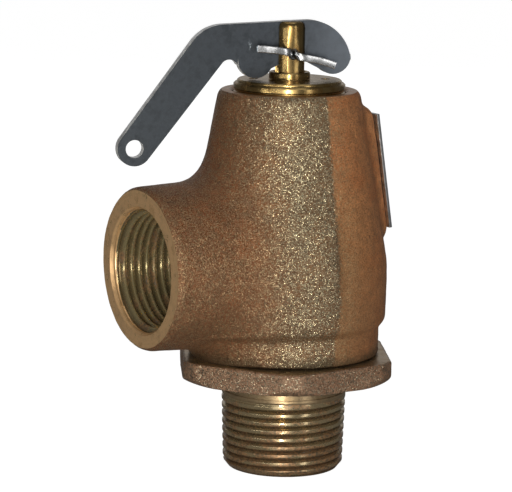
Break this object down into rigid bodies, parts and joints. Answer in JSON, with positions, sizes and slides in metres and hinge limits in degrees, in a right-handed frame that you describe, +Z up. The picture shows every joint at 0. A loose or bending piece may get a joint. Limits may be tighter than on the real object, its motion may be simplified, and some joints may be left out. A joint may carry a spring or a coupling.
{
  "type": "pressure relief valve",
  "caption": "Bronze angle-pattern relief valve with a male pipe inlet, side female outlet, spring-loaded winged disc and hand test lever.",
  "frame": {"origin": "centre of the male inlet's end face", "axes": "+Z up the stem, -X out of the outlet, +X towards the nameplate"},
  "size_m": [0.0759, 0.0568, 0.1209],
  "materials": {
    "cast_bronze": "sand cast and shot blasted bronze, brown, fine grained",
    "flange_bronze": "cast bronze with machined threads, tarnished",
    "turned_brass": "turned, semi-bright, golden",
    "plated_steel": "dark zinc plate, smooth, with bright worn edges",
    "bright_steel": "bright zinc plate",
    "spring_steel": "oiled spring steel",
    "plain_aluminium": "bare sheet, blank",
    "seat_plastic": "white sealing plastic",
    "gasket_fibre": "dark compressed fibre"
  },
  "bodies": {
    "housing": {"valve_body": "cast_bronze", "inlet_nozzle": "flange_bronze", "nozzle_gasket": "gasket_fibre", "compression_screw": "turned_brass", "upper_spring_step": "plated_steel", "valve_spring": "spring_steel", "nameplate": "plain_aluminium", "nameplate_screw_upper": "bright_steel", "nameplate_screw_lower": "bright_steel"},
    "disc": {"disc_holder": "turned_brass", "seat_disc": "seat_plastic", "wing_guide": "turned_brass", "guide_screw": "bright_steel", "pivot_ball": "bright_steel", "disc_retaining_pin": "bright_steel", "lower_spring_step": "plated_steel"},
    "spindle": {"stem": "turned_brass", "stem_retaining_ring": "spring_steel", "cotter_pin": "bright_steel"},
    "test_lever": {"lever": "plated_steel"}
  },
  "joints": [
    {"name": "stem_lift", "type": "slide", "parent": "housing", "child": "disc", "axis": [0, 0, 1], "range_m": [0, 0.0036], "stiffness_N_per_m": 2000, "springref_m": -0.01, "deforming": ["valve_spring"]},
    {"name": "lever_swivel", "type": "hinge", "parent": "disc", "child": "spindle", "pos_m": [0, 0, 0.1], "axis": [0, 0, 1], "continuous": true},
    {"name": "lever_pivot", "type": "hinge", "parent": "spindle", "child": "test_lever", "pos_m": [0, 0, 0.1121], "axis": [0.2807, 0.9598, 0], "range_deg": [0, 25]}
  ],
  "couplings": [
    {"joint": "lever_pivot", "follows": "stem_lift", "rad_per_m": 121.2}
  ]
}
